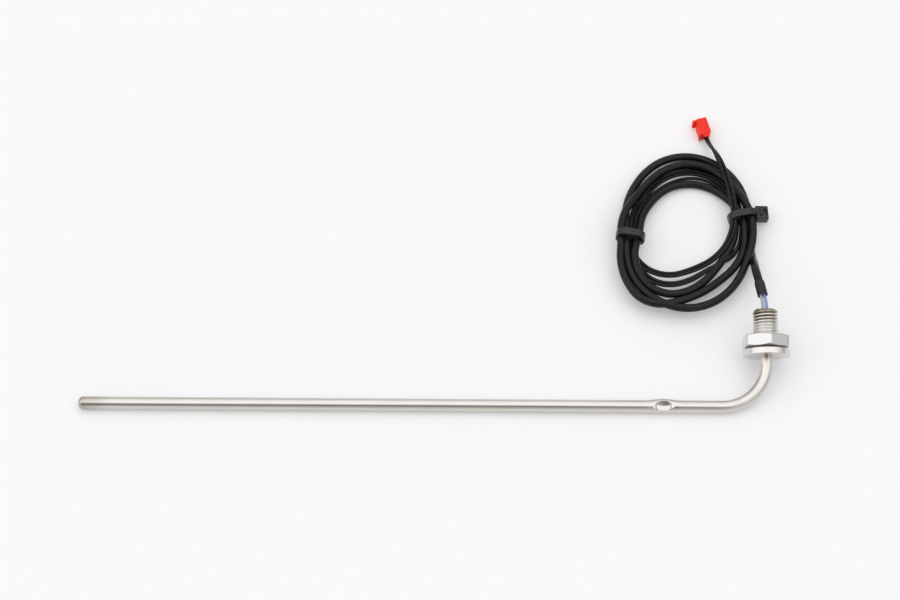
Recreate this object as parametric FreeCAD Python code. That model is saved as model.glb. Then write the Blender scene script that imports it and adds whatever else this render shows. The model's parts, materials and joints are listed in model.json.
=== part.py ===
"""Temperature sensor: bent closed tube, flanged threaded stud with its nut, and a coiled two-wire lead.

Sizes are in millimetres. The sensor is drawn first in its own bend plane: the stem runs along X with its
tip at -X, the stud runs along +Y, and Z stands across the bend. It is then leaned about the stem until the
flange's rim touches the table. The lead is drawn where it lies on the table, measured from the point where
the stem's line and the stud's line meet.
"""
import FreeCAD
import Part
import math
import os

from FreeCAD import Vector

# Stem tube
TUBE_OD = 5.0
TUBE_WALL = 0.5
STEM_REACH = 268.0
BEND_RADIUS = 17.5
LEG_STRAIGHT = 2.5
TIP_WALL = 1.0
TIP_ROUND = 1.7

# Punched dimple
DIMPLE_FROM_STUD = 40.5
DIMPLE_PUNCH_RADIUS = 3.2
DIMPLE_DEPTH = 1.85
SHOULDER_RADIUS = 10.0
SHOULDER_DEPTH = 0.7
SQUEEZE_LENGTH = 14.0
SQUEEZE_WIDER = 0.35
SQUEEZE_FLATTER = 0.25
SQUEEZE_ASIDE = 0.25
SQUEEZE_SECTIONS = 7

# Flanged stud
FLANGE_OD = 18.5
FLANGE_THICKNESS = 2.5
FLANGE_EDGE = 0.25
STUD_OD = 10.0
STUD_LENGTH = 16.0
STUD_CHAMFER = 1.0
RELIEF_WIDTH = 1.6
RELIEF_DEPTH = 0.85
SOCKET_DEPTH = 10.0
BRAZE_GAP = 0.02
WIRE_BORE = 4.0
WIRE_BORE_MOUTH = 0.5

# Hexagon nut
NUT_ACROSS_FLATS = 17.0
NUT_HEIGHT = 5.0
NUT_LIFT = 0.7
NUT_TURN = 0.9
NUT_CHAMFER_ANGLE = 22.0
NUT_BEARING_SHARE = 0.95
NUT_RUNNING_GAP = 0.05
NUT_COUNTERSINK = 0.5

# Inner wires, the element and what holds them
WIRE_OD = 1.2
WIRE_DROP = 0.8
ELEMENT_OD = 2.2
ELEMENT_LENGTH = 5.0
ELEMENT_SETBACK = 0.8
LEG_OD = 0.4
LEG_LENGTH = 3.0
FILLER_LENGTH = 13.0
SEAL_LENGTH = 4.0
SEAL_RECESS = 0.8

# Wires between the stud and the boot
EXIT_STRAIGHT = 0.8
EXIT_BEND_RADIUS = 10.0
EXIT_NOSE_DOWN = 4.0
EXIT_ROLL = 23.0
EXIT_END = 1.7

# Boot and splices
SLEEVE_OD = 3.3
BOOT_OD = 4.1
BOOT_LENGTH = 5.0
BOOT_TAPER = 1.3
BOOT_LIP = 0.25
CRIMP_WALL = 0.11
CRIMP_GAP = 0.02
CRIMP_LENGTH = 3.4
CRIMP_SETBACK = 0.8
CRIMP_WAIST = 0.15
CRIMP_WAIST_LENGTH = 1.6

# Sleeved lead between the boot and the coil
ARC_SHARE = 0.45
SLEEVE_FIRST_RUN = 8.5
SLEEVE_ROUTE = [(-1.6, 61.5, 10.6), (-1.7, 71.0, 5.2), (-3.6, 80.0, 3.6)]

# Coil of lead, as two ovals in plan: centre, half width, half depth, radius of the ends, turn
COIL_OUTER = (-27.9, 79.5, 27.9, 37.2, 24.5, -6.0)
COIL_INNER = (-28.2, 79.8, 17.3, 21.9, 14.5, -35.0)
COIL_HEIGHT = 6.0
COIL_EDGE = 2.6

# Cable ties: a point on the bundle and the heading of the strap
TIE_RIGHT = (-4.7, 85.2, 13.3)
TIE_LEFT = (-51.9, 73.9, 172.0)
STRAP_WIDTH = 2.9
STRAP_THICKNESS = 0.9
TIE_GAP = 0.2
TIE_HEAD_LONG = 5.2
TIE_HEAD_WIDE = 6.0
TIE_HEAD_THICK = 3.8
TIE_HEAD_RISE = 2.6
TIE_HEAD_ROUND = 0.4
TIE_HEAD_TWIST = -12.0
PAWL_WINDOW = 1.3
PAWL_DEPTH = 0.9
TAIL_STUB = 0.8

# Connector, lying on its narrow side
PLUG_WIDTH = 4.4
PLUG_LENGTH = 8.0
PLUG_FLOOR = 0.25
PLUG_PARTITION = 0.2
PLUG_ROOF = 0.95
PLUG_PLACE = (-17.1, 125.5)
PLUG_HEADING = 13.9
PLUG_CORNER = 0.9
HOOK_REACH = 1.6
HOOK_LENGTH = 1.5
HOOK_NOTCH = 1.0
HOOK_STEP = 0.4
LEAD_IN = 0.8
RIB_REACH = 0.5
SPUR_REACH = 0.6
SPUR_LENGTH = 0.9
SPUR_OVERHANG = 0.45
LIP_REACH = 1.2
LIP_INSET = 0.6
LIP_DROP = 0.25
CAVITY_GAP = 0.05
TERMINAL_GAP = 0.08
TERMINAL_WALL = 0.25
TERMINAL_LENGTH = 4.4
TERMINAL_SETBACK = 0.6

# Black wires between the coil and the connector
LEAD_OD = 1.4
LEAD_INSERTION = 1.2
LEAD_STRAIGHT = 3.0
LEAD_ROUTE_A = [(-8.9, 89.6, 6.4), (-10.6, 97.8, 8.3), (-12.8, 106.6, 8.9), (-15.1, 115.2, 7.8)]
LEAD_ROUTE_B = [(-7.3, 89.4, 6.4), (-8.9, 97.4, 8.3), (-11.1, 106.2, 8.7), (-13.3, 114.8, 5.8)]

# Worked out from the sizes above
TUBE_R = TUBE_OD / 2
BORE_R = TUBE_R - TUBE_WALL
FLANGE_R = FLANGE_OD / 2
STUD_R = STUD_OD / 2
LEG = BEND_RADIUS + LEG_STRAIGHT
FLANGE_BACK = LEG + FLANGE_THICKNESS
STUD_END = FLANGE_BACK + STUD_LENGTH
RIM_FRONT = LEG + FLANGE_EDGE
LEAN = math.atan2(FLANGE_R, RIM_FRONT) - math.asin(TUBE_R / math.hypot(FLANGE_R, RIM_FRONT))
COIL_LIFT = STRAP_THICKNESS + TIE_GAP
CAVITY = LEAD_OD + 2 * CAVITY_GAP
PLUG_PITCH = CAVITY + PLUG_PARTITION
PLUG_HEIGHT = PLUG_FLOOR + PLUG_PITCH + CAVITY + PLUG_ROOF
# the left tie's head lies under the bundle, so the coil leans on it
COIL_TILT = math.atan2(TIE_HEAD_THICK - STRAP_THICKNESS, TIE_RIGHT[0] - TIE_LEFT[0] - TIE_HEAD_LONG / 2)
# the two splices lie side by side in the boot, and the wires keep that spacing all the way
CRIMP_OD = WIRE_OD + 2 * CRIMP_WALL
WIRE_SPACING = CRIMP_OD + 2 * CRIMP_GAP

X_AXIS = Vector(1, 0, 0)
Y_AXIS = Vector(0, 1, 0)
Z_AXIS = Vector(0, 0, 1)
ORIGIN = Vector(0, 0, 0)


def turned(profile):
    """Solid turned about the stud's axis, from (radius, height) points."""
    points = [Vector(radius, height, 0) for radius, height in profile]
    face = Part.Face(Part.makePolygon(points + points[:1]))
    return face.revolve(ORIGIN, Y_AXIS, 360)


def disc(radius, centre, normal):
    """Flat round face."""
    return Part.Face(Part.Wire(Part.makeCircle(radius, centre, normal)))


def rod(radius, start, end):
    """Plain cylinder between two points."""
    span = end - start
    return Part.makeCylinder(radius, span.Length, start, span)


def fused(pieces):
    """One solid from pieces that meet."""
    return pieces[0].fuse(pieces[1:]).removeSplitter()


def bent_rod(radius, start_x, end_y, inward=0.0, drop=0.0):
    """Rod that follows the stem, its bend and the stud's axis, set off towards the inside of the bend."""
    stem_start = Vector(start_x, inward, -drop)
    bend_start = Vector(-BEND_RADIUS, inward, -drop)
    bend_end = Vector(-inward, BEND_RADIUS, -drop)
    leg_end = Vector(-inward, end_y, -drop)
    bend = disc(radius, bend_start, X_AXIS).revolve(Vector(-BEND_RADIUS, BEND_RADIUS, 0), Z_AXIS, 90)
    return [rod(radius, stem_start, bend_start), bend, rod(radius, bend_end, leg_end)]


def squeezed_rod(radius, centre_x):
    """Stretch of the stem that the punch has made flatter and wider and pushed aside, from ellipses along it."""
    sections = []
    for number in range(SQUEEZE_SECTIONS):
        along = number / (SQUEEZE_SECTIONS - 1)
        share = math.sin(math.pi * along) ** 2
        wide = radius + SQUEEZE_WIDER * share
        tall = radius - SQUEEZE_FLATTER * share
        centre = Vector(centre_x + (along - 0.5) * SQUEEZE_LENGTH, SQUEEZE_ASIDE * share, 0)
        # an ellipse needs its longer half first, so the round ends are plain circles
        if math.isclose(wide, tall):
            edge = Part.makeCircle(radius, centre, X_AXIS)
        else:
            edge = Part.Ellipse(centre + Y_AXIS * wide, centre + Z_AXIS * tall, centre).toShape()
        sections.append(Part.Wire(edge))
    return Part.makeLoft(sections, True)


def stem_form(radius, tip_x, end_y):
    """The tube's outside or its bore: straight stem with the squeezed stretch, bend and leg."""
    dimple_x = -DIMPLE_FROM_STUD
    half = SQUEEZE_LENGTH / 2
    whole = bent_rod(radius, dimple_x + half, end_y)
    far_stem = rod(radius, Vector(tip_x, 0, 0), Vector(dimple_x - half, 0, 0))
    return [far_stem, squeezed_rod(radius, dimple_x)] + whole


def dimple_balls(offset):
    """Round nose of the punch and its wider shoulder, both grown by an offset."""
    balls = []
    for radius, depth in ((DIMPLE_PUNCH_RADIUS, DIMPLE_DEPTH), (SHOULDER_RADIUS, SHOULDER_DEPTH)):
        height = TUBE_R - SQUEEZE_FLATTER - depth + radius
        balls.append(Part.makeSphere(radius + offset, Vector(-DIMPLE_FROM_STUD, 0, height)))
    return balls


def make_probe_tube():
    """Closed tube with a rounded tip, the bend, and one dimple punched across the bend's plane."""
    end_y = LEG + SOCKET_DEPTH
    outside = stem_form(TUBE_R, -STEM_REACH, end_y)
    tip_edges = [edge for edge in outside[0].Edges if edge.BoundBox.XMax < -STEM_REACH + TUBE_WALL]
    outside[0] = outside[0].makeFillet(TIP_ROUND, tip_edges)
    bore = stem_form(BORE_R, -STEM_REACH + TIP_WALL, end_y)
    bore[1] = bore[1].cut(dimple_balls(TUBE_WALL))
    outside[1] = outside[1].cut(dimple_balls(0))
    tube = [shell.cut(hollow) for shell, hollow in zip(outside, bore)]
    return fused(tube)


def make_threaded_fitting():
    """Flange and stud turned as one, with a socket for the tube, a wire bore and a relief behind the thread."""
    socket_r = TUBE_R + BRAZE_GAP
    bore_r = WIRE_BORE / 2
    relief_r = STUD_R - RELIEF_DEPTH
    relief_end = FLANGE_BACK + RELIEF_WIDTH
    return turned([
        (socket_r, LEG),
        (FLANGE_R - FLANGE_EDGE, LEG),
        (FLANGE_R, RIM_FRONT),
        (FLANGE_R, FLANGE_BACK - FLANGE_EDGE),
        (FLANGE_R - FLANGE_EDGE, FLANGE_BACK),
        (relief_r, FLANGE_BACK),
        (relief_r, relief_end),
        (STUD_R, relief_end + RELIEF_DEPTH),
        (STUD_R, STUD_END - STUD_CHAMFER),
        (STUD_R - STUD_CHAMFER, STUD_END),
        (bore_r + WIRE_BORE_MOUTH, STUD_END),
        (bore_r, STUD_END - WIRE_BORE_MOUTH),
        (bore_r, LEG + SOCKET_DEPTH),
        (socket_r, LEG + SOCKET_DEPTH),
    ])


def make_clamp_nut():
    """Thin hexagon nut, chamfered on both faces, standing a little off the flange."""
    bottom = FLANGE_BACK + NUT_LIFT
    top = bottom + NUT_HEIGHT
    corner_r = NUT_ACROSS_FLATS / math.sqrt(3)
    corners = []
    for side in range(6):
        angle = math.radians(NUT_TURN + 60 * side)
        corners.append(Vector(corner_r * math.sin(angle), bottom, corner_r * math.cos(angle)))
    prism = Part.Face(Part.makePolygon(corners + corners[:1])).extrude(Y_AXIS * NUT_HEIGHT)
    bearing_r = NUT_BEARING_SHARE * NUT_ACROSS_FLATS / 2
    chamfer_drop = (corner_r - bearing_r) * math.tan(math.radians(NUT_CHAMFER_ANGLE))
    bore_r = STUD_R + NUT_RUNNING_GAP
    envelope = turned([
        (bore_r + NUT_COUNTERSINK, bottom),
        (bearing_r, bottom),
        (corner_r, bottom + chamfer_drop),
        (corner_r, top - chamfer_drop),
        (bearing_r, top),
        (bore_r + NUT_COUNTERSINK, top),
        (bore_r, top - NUT_COUNTERSINK),
        (bore_r, bottom + NUT_COUNTERSINK),
    ])
    return prism.common(envelope)


def exit_path():
    """Line of the wire pair past the stud: start of the turn, its far end and the heading there."""
    turn = LEAN + math.radians(EXIT_NOSE_DOWN)
    roll = math.radians(EXIT_ROLL)
    side = Vector(-math.sin(roll), 0, -math.cos(roll))
    start = Vector(0, STUD_END + EXIT_STRAIGHT, -WIRE_DROP)
    centre = start + side * EXIT_BEND_RADIUS
    axis = Y_AXIS.cross(side)
    heading = Y_AXIS * math.cos(turn) + side * math.sin(turn)
    end = start + (Y_AXIS * math.sin(turn) + side * (1 - math.cos(turn))) * EXIT_BEND_RADIUS
    return start, centre, axis, math.degrees(turn), end, heading


def boot_mouth():
    """Where the boot's open end stands, and the way the boot points."""
    end, heading = exit_path()[4:]
    return end + heading * EXIT_END, heading


def crimp_base(side):
    """Where the splice of one wire begins. Both begin at one depth in the boot."""
    mouth, heading = boot_mouth()
    across = X_AXIS * (-side * WIRE_SPACING / 2)
    return mouth + heading * CRIMP_SETBACK + across - heading * across.dot(heading)


def make_inner_wire(side):
    """Insulated wire from the element's leg, through stem and stud, to its splice in the boot."""
    set_off = side * WIRE_SPACING / 2
    radius = WIRE_OD / 2
    start_x = -STEM_REACH + TIP_WALL + ELEMENT_SETBACK + ELEMENT_LENGTH + LEG_LENGTH
    start, centre, axis, turn, end, heading = exit_path()
    across = X_AXIS * -set_off
    inside = bent_rod(radius, start_x, start.y, set_off, WIRE_DROP)
    bend = disc(radius, start + across, Y_AXIS).revolve(centre + across, axis, turn)
    last = rod(radius, end + across, crimp_base(side))
    return fused(inside + [bend, last])


def make_sensing_element():
    """Ceramic element at the tip with its two legs."""
    start = Vector(-STEM_REACH + TIP_WALL + ELEMENT_SETBACK, 0, -WIRE_DROP)
    end = start + X_AXIS * ELEMENT_LENGTH
    pieces = [rod(ELEMENT_OD / 2, start, end)]
    for side in (-1, 1):
        foot = end + Y_AXIS * (side * WIRE_SPACING / 2)
        pieces.append(rod(LEG_OD / 2, foot, foot + X_AXIS * LEG_LENGTH))
    return fused(pieces)


def make_tip_filler(element, wires):
    """Filler that beds the element and the ends of the wires in the closed tip."""
    start = Vector(-STEM_REACH + TIP_WALL, 0, 0)
    plug = rod(BORE_R, start, start + X_AXIS * FILLER_LENGTH)
    return plug.cut([element] + wires)


def make_exit_seal(wires):
    """Potting that closes the stud's bore round the two wires."""
    end = Vector(0, STUD_END - WIRE_BORE_MOUTH - SEAL_RECESS, 0)
    plug = rod(WIRE_BORE / 2, end - Y_AXIS * SEAL_LENGTH, end)
    return plug.cut(wires)


def pointed(shape, base, heading):
    """Stand a shape that was turned about +Y on a base point, with its axis along a heading."""
    placed = shape.copy()
    placed.Placement = FreeCAD.Placement(base, FreeCAD.Rotation(Y_AXIS, heading))
    return placed


def make_splice_boot():
    """Short shrink tube over the splices and the end of the sleeve, necked down at its far end."""
    sleeve_r = SLEEVE_OD / 2
    boot_r = BOOT_OD / 2
    profile = turned([
        (sleeve_r, 0),
        (boot_r, 0),
        (boot_r, BOOT_LENGTH),
        (sleeve_r + BOOT_LIP, BOOT_LENGTH + BOOT_TAPER),
        (sleeve_r, BOOT_LENGTH + BOOT_TAPER),
    ])
    return pointed(profile, *boot_mouth())


def make_splice_crimp(side):
    """Crimped barrel on the end of one inner wire, pinched at its waist."""
    heading = boot_mouth()[1]
    radius = CRIMP_OD / 2
    waist_start = (CRIMP_LENGTH - CRIMP_WAIST_LENGTH) / 2
    waist_end = waist_start + CRIMP_WAIST_LENGTH
    barrel = turned([
        (0, 0),
        (radius, 0),
        (radius, waist_start),
        (radius - CRIMP_WAIST, waist_start + CRIMP_WAIST),
        (radius - CRIMP_WAIST, waist_end - CRIMP_WAIST),
        (radius, waist_end),
        (radius, CRIMP_LENGTH),
        (0, CRIMP_LENGTH),
    ])
    return pointed(barrel, crimp_base(side), heading)


def laid(point):
    """Where a point of the leaned sensor lies over the table."""
    return FreeCAD.Rotation(X_AXIS, math.degrees(LEAN)).multVec(point) + Z_AXIS * TUBE_R


def lay_down(shape):
    """Lean a piece of the sensor about its stem until tube and flange rest on the table."""
    placed = shape.copy()
    placed.rotate(ORIGIN, X_AXIS, math.degrees(LEAN))
    placed.translate(Z_AXIS * TUBE_R)
    return placed


def cord_tube(name, points, diameter):
    """Tube along straight runs joined by arcs as large as the runs allow. Prints the arcs' radii."""
    edges = []
    radii = []
    last = points[0]
    for before, corner, after in zip(points, points[1:], points[2:]):
        back = before - corner
        on = after - corner
        half_turn = (math.pi - back.getAngle(on)) / 2
        reach = ARC_SHARE * min(back.Length, on.Length)
        radii.append(reach / math.tan(half_turn))
        arc_start = corner + back.normalize() * reach
        arc_end = corner + on.normalize() * reach
        inward = (back + on).normalize()
        middle = corner + inward * (radii[-1] / math.cos(half_turn) - radii[-1])
        edges.append(Part.LineSegment(last, arc_start).toShape())
        edges.append(Part.Arc(arc_start, middle, arc_end).toShape())
        last = arc_end
    edges.append(Part.LineSegment(last, points[-1]).toShape())
    path = Part.Wire(edges)
    section = Part.Wire(Part.makeCircle(diameter / 2, points[0], points[1] - points[0]))
    tube = path.makePipeShell([section], True, False)
    expected = math.pi * diameter ** 2 / 4 * path.Length
    print(name, "length", round(path.Length, 1), "volume share", round(tube.Volume / expected, 4),
          "radii", [round(radius, 1) for radius in radii])
    return tube


def make_sleeve_run():
    """Sleeved lead from the splices, out of the boot and down into the coil."""
    mouth, heading = boot_mouth()
    start = mouth + heading * (CRIMP_SETBACK + CRIMP_LENGTH)
    first = [laid(start), laid(start + heading * SLEEVE_FIRST_RUN)]
    points = first + [Vector(*point) for point in SLEEVE_ROUTE]
    return cord_tube("sleeve_run", points, SLEEVE_OD)


def oval(size):
    """Closed oval in plan, at the height of the coil's underside: two end arcs joined by two flatter side arcs."""
    centre_x, centre_y, half_width, half_depth, end_r, turn = size
    end_drop = half_depth - end_r
    side_r = (end_drop ** 2 + half_width ** 2 - end_r ** 2) / (2 * (half_width - end_r))
    # the arcs meet where the line through their two centres crosses them
    meet = math.atan2(end_drop, side_r - half_width)
    meet_x = end_r * math.cos(meet)
    meet_y = end_drop + end_r * math.sin(meet)
    corners = [Vector(meet_x, meet_y, 0), Vector(-meet_x, meet_y, 0),
               Vector(-meet_x, -meet_y, 0), Vector(meet_x, -meet_y, 0)]
    middles = [Vector(0, half_depth, 0), Vector(-half_width, 0, 0),
               Vector(0, -half_depth, 0), Vector(half_width, 0, 0)]
    arcs = [Part.Arc(first, middle, last).toShape()
            for first, middle, last in zip(corners, middles, corners[1:] + corners[:1])]
    loop = Part.Wire(arcs)
    loop.rotate(ORIGIN, Z_AXIS, turn)
    loop.translate(Vector(centre_x, centre_y, COIL_LIFT))
    return loop


def coil_plan():
    """Flat ring that the coil covers."""
    return Part.Face(oval(COIL_OUTER)).cut(Part.Face(oval(COIL_INNER)))


def make_cable_coil():
    """Outer shape of the coiled lead: a flat oval ring with round edges, wider where the turns fan out."""
    ring = coil_plan().extrude(Z_AXIS * COIL_HEIGHT)
    flat_edges = [edge for edge in ring.Edges if edge.BoundBox.ZLength < COIL_EDGE]
    return ring.makeFillet(COIL_EDGE, flat_edges)


def bundle_span(point, heading):
    """Near and far side of the bundle under a strap, as distances along its heading from a point on the bundle."""
    reach = 2 * COIL_OUTER[3]
    strip = Part.Face(Part.makePlane(reach, STRAP_WIDTH, Vector(-reach / 2, -STRAP_WIDTH / 2, 0)).Wires[0])
    plan = coil_plan()
    plan.translate(Vector(-point.x, -point.y, -COIL_LIFT))
    plan.rotate(ORIGIN, Z_AXIS, -heading)
    crossings = plan.common(strip).Faces
    bundle = min(crossings, key=lambda face: abs(face.CenterOfMass.x))
    box = bundle.optimalBoundingBox(False)
    return box.XMin, box.XMax


def rounded_bar(wide, tall, long, edge):
    """Bar along Y with rounded long edges, standing on z = 0 and centred in x and y."""
    bar = Part.makeBox(wide, long, tall, Vector(-wide / 2, -long / 2, 0))
    long_edges = [line for line in bar.Edges if line.BoundBox.YLength > long / 2]
    return bar.makeFillet(edge, long_edges)


def make_tie_head():
    """Locking head lying flat with its pawl window on top, its underside centred on the origin."""
    corner = Vector(-TIE_HEAD_LONG / 2, -TIE_HEAD_WIDE / 2, 0)
    head = Part.makeBox(TIE_HEAD_LONG, TIE_HEAD_WIDE, TIE_HEAD_THICK, corner)
    head = head.makeFillet(TIE_HEAD_ROUND, head.Edges)
    window = Part.makeBox(PAWL_WINDOW, STRAP_WIDTH, PAWL_DEPTH,
                          Vector(PAWL_WINDOW / 2, -STRAP_WIDTH / 2, TIE_HEAD_THICK - PAWL_DEPTH))
    return head.cut(window)


def make_tie_tail():
    """Cut end of the strap, standing in the head's top beside the window."""
    corner = Vector(-STRAP_THICKNESS, -STRAP_WIDTH / 2, TIE_HEAD_THICK - PAWL_DEPTH)
    return Part.makeBox(STRAP_THICKNESS, STRAP_WIDTH, PAWL_DEPTH + TAIL_STUB, corner)


def make_cable_tie(place, head_beside):
    """Strap loop round the bundle, with its locking head beside the bundle or under it."""
    point = Vector(place[0], place[1], 0)
    near, far = bundle_span(point, place[2])
    hole_wide = far - near + 2 * TIE_GAP
    hole_tall = COIL_HEIGHT + 2 * TIE_GAP
    hole_round = COIL_EDGE + TIE_GAP
    loop = rounded_bar(hole_wide + 2 * STRAP_THICKNESS, hole_tall + 2 * STRAP_THICKNESS, STRAP_WIDTH,
                       hole_round + STRAP_THICKNESS)
    hole = rounded_bar(hole_wide, hole_tall, 2 * TIE_HEAD_WIDE, hole_round)
    hole.translate(Z_AXIS * STRAP_THICKNESS)
    if head_beside:
        head = fused([make_tie_head(), make_tie_tail()])
        head.translate(Vector(hole_wide / 2 + TIE_HEAD_LONG / 2, 0, TIE_HEAD_RISE))
        head.rotate(Vector(hole_wide / 2, 0, 0), Z_AXIS, TIE_HEAD_TWIST)
    else:
        head = make_tie_head()
        head.rotate(ORIGIN, Y_AXIS, 180)
        head.translate(Z_AXIS * STRAP_THICKNESS)
    tie = fused([loop, head]).cut(hole)
    tie.translate(X_AXIS * ((near + far) / 2))
    tie.rotate(ORIGIN, Z_AXIS, place[2])
    tie.translate(point)
    return tie


def make_coil_pieces():
    """Coil and ties, leaned to the right until the left tie's head and the right tie's strap are on the table."""
    pieces = {
        "cable_coil": make_cable_coil(),
        "cable_tie_left": make_cable_tie(TIE_LEFT, False),
        "cable_tie_right": make_cable_tie(TIE_RIGHT, True),
    }
    for piece in pieces.values():
        piece.rotate(Vector(TIE_RIGHT[0], TIE_RIGHT[1], 0), Y_AXIS, math.degrees(COIL_TILT))
    lowest = min(piece.optimalBoundingBox(False).ZMin for piece in pieces.values())
    for piece in pieces.values():
        piece.translate(Z_AXIS * -lowest)
    return pieces


def plug_axis():
    """The way the connector's mating end points, on the table."""
    return FreeCAD.Rotation(Z_AXIS, PLUG_HEADING).multVec(Y_AXIS)


def place_plug(shape):
    """Lay a connector piece on the table. Its wire end stands on the placing point."""
    placed = shape.copy()
    placed.rotate(ORIGIN, Z_AXIS, PLUG_HEADING)
    placed.translate(Vector(*PLUG_PLACE, 0))
    return placed


def cavity_heights():
    """Heights of the two contact cavities over the table, upper one first."""
    lower = PLUG_FLOOR + CAVITY / 2
    return [lower + PLUG_PITCH, lower]


def make_connector_lip():
    """Lip that stands out over the wires, a little below the top of the housing."""
    half = PLUG_WIDTH / 2
    underside = PLUG_HEIGHT - PLUG_ROOF
    outline = [
        (-half + LIP_INSET, 0),
        (-half + 2 * LIP_INSET, -LIP_REACH),
        (half - PLUG_CORNER - LIP_INSET, -LIP_REACH),
        (half - PLUG_CORNER, 0),
    ]
    points = [Vector(across, along, underside) for across, along in outline]
    return Part.Face(Part.makePolygon(points + points[:1])).extrude(Z_AXIS * (PLUG_ROOF - LIP_DROP))


def make_connector_housing():
    """Housing drawn from its side: hook and notch at the mating end, rib and spur towards the wires."""
    half = PLUG_WIDTH / 2
    hook_end = PLUG_LENGTH - HOOK_LENGTH
    notch_end = hook_end - HOOK_NOTCH
    outline = [
        (half - PLUG_CORNER, 0),
        (half, PLUG_CORNER),
        (half, PLUG_LENGTH),
        (-half + LEAD_IN, PLUG_LENGTH),
        (-half, PLUG_LENGTH - HOOK_STEP),
        (-half - HOOK_REACH, PLUG_LENGTH - HOOK_STEP),
        (-half - HOOK_REACH, hook_end),
        (-half, hook_end),
        (-half, notch_end),
        (-half - RIB_REACH, notch_end),
        (-half - RIB_REACH, SPUR_LENGTH),
        (-half - RIB_REACH - SPUR_REACH, -SPUR_OVERHANG),
        (-half, 0),
    ]
    points = [Vector(across, along, 0) for across, along in outline]
    body = Part.Face(Part.makePolygon(points + points[:1])).extrude(Z_AXIS * PLUG_HEIGHT)
    for height in cavity_heights():
        corner = Vector(-CAVITY / 2, -SPUR_LENGTH, height - CAVITY / 2)
        body = body.cut(Part.makeBox(CAVITY, PLUG_LENGTH + 2 * SPUR_LENGTH, CAVITY, corner))
    return place_plug(fused([body, make_connector_lip()]))


def make_terminal(height):
    """Crimp contact: a square socket for the mating pin and a barrel on the end of the wire."""
    wide = CAVITY - 2 * TERMINAL_GAP
    front = PLUG_LENGTH - TERMINAL_SETBACK
    back = front - TERMINAL_LENGTH
    box = Part.makeBox(wide, TERMINAL_LENGTH, wide, Vector(-wide / 2, back, height - wide / 2))
    inside = wide - 2 * TERMINAL_WALL
    socket_corner = Vector(-inside / 2, back + TERMINAL_WALL, height - inside / 2)
    socket = Part.makeBox(inside, TERMINAL_LENGTH, inside, socket_corner)
    barrel = rod(wide / 2 - TERMINAL_GAP, Vector(0, LEAD_INSERTION, height), Vector(0, back, height))
    return place_plug(fused([box.cut(socket), barrel]))


def make_lead_wire(name, route, height):
    """Black wire from inside the coil, over its far side, into the connector."""
    axis = plug_axis()
    entry = Vector(*PLUG_PLACE, height)
    points = [Vector(*point) for point in route]
    points += [entry - axis * LEAD_STRAIGHT, entry + axis * LEAD_INSERTION]
    return cord_tube(name, points, LEAD_OD)


def make_sensor():
    """The pieces of the sensor itself, leaned as they lie on the table."""
    element = make_sensing_element()
    grey = make_inner_wire(1)
    blue = make_inner_wire(-1)
    pieces = {
        "probe_tube": make_probe_tube(),
        "threaded_fitting": make_threaded_fitting(),
        "clamp_nut": make_clamp_nut(),
        "sensing_element": element,
        "tip_filler": make_tip_filler(element, [grey, blue]),
        "inner_wire_grey": grey,
        "inner_wire_blue": blue,
        "exit_seal": make_exit_seal([grey, blue]),
    }
    return {name: lay_down(shape) for name, shape in pieces.items()}


def make_lead():
    """The lead and everything on it, as it lies on the table."""
    upper, lower = cavity_heights()
    return {
        "splice_boot": lay_down(make_splice_boot()),
        "splice_crimp_a": lay_down(make_splice_crimp(1)),
        "splice_crimp_b": lay_down(make_splice_crimp(-1)),
        "sleeve_run": make_sleeve_run(),
        **make_coil_pieces(),
        "lead_wire_a": make_lead_wire("lead_wire_a", LEAD_ROUTE_A, upper),
        "lead_wire_b": make_lead_wire("lead_wire_b", LEAD_ROUTE_B, lower),
        "connector_housing": make_connector_housing(),
        "terminal_a": make_terminal(upper),
        "terminal_b": make_terminal(lower),
    }


def main():
    """Put the origin under the middle of the sensor and write each piece."""
    sensor = make_sensor()
    box = Part.makeCompound(list(sensor.values())).optimalBoundingBox(False)
    middle = Vector(box.Center.x, box.Center.y, 0)
    print("origin", [round(value, 4) for value in middle], "lowest", round(box.ZMin, 4),
          "lean", round(math.degrees(LEAN), 4))
    os.makedirs("parts", exist_ok=True)
    for name, shape in {**sensor, **make_lead()}.items():
        shape.translate(-middle)
        if len(shape.Solids) != 1 or not shape.isValid():
            print("check", name, len(shape.Solids), shape.isValid())
        shape.exportStep("parts/" + name + ".step")


main()
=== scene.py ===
"""Looks of the temperature sensor: bright steel, a coiled black lead, its ties and its red connector."""
import bmesh
import bpy
import json
import math
import numpy as np
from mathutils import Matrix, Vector


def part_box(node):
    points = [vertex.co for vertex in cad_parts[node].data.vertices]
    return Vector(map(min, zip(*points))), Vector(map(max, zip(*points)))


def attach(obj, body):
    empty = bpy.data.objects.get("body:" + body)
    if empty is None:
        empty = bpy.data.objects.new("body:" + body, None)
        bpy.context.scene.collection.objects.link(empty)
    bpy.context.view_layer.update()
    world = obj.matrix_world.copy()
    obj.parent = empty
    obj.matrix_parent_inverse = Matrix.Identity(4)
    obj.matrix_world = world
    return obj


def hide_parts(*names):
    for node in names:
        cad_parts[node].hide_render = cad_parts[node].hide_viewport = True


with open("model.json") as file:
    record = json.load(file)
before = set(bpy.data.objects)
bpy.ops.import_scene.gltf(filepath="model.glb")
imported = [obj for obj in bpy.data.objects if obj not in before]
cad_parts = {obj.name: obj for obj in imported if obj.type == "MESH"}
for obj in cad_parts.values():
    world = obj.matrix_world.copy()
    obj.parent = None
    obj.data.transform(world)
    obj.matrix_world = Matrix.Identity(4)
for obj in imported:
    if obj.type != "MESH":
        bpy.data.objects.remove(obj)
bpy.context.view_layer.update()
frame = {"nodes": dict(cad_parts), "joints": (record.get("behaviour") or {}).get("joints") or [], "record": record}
nodes = frame["nodes"]

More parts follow.
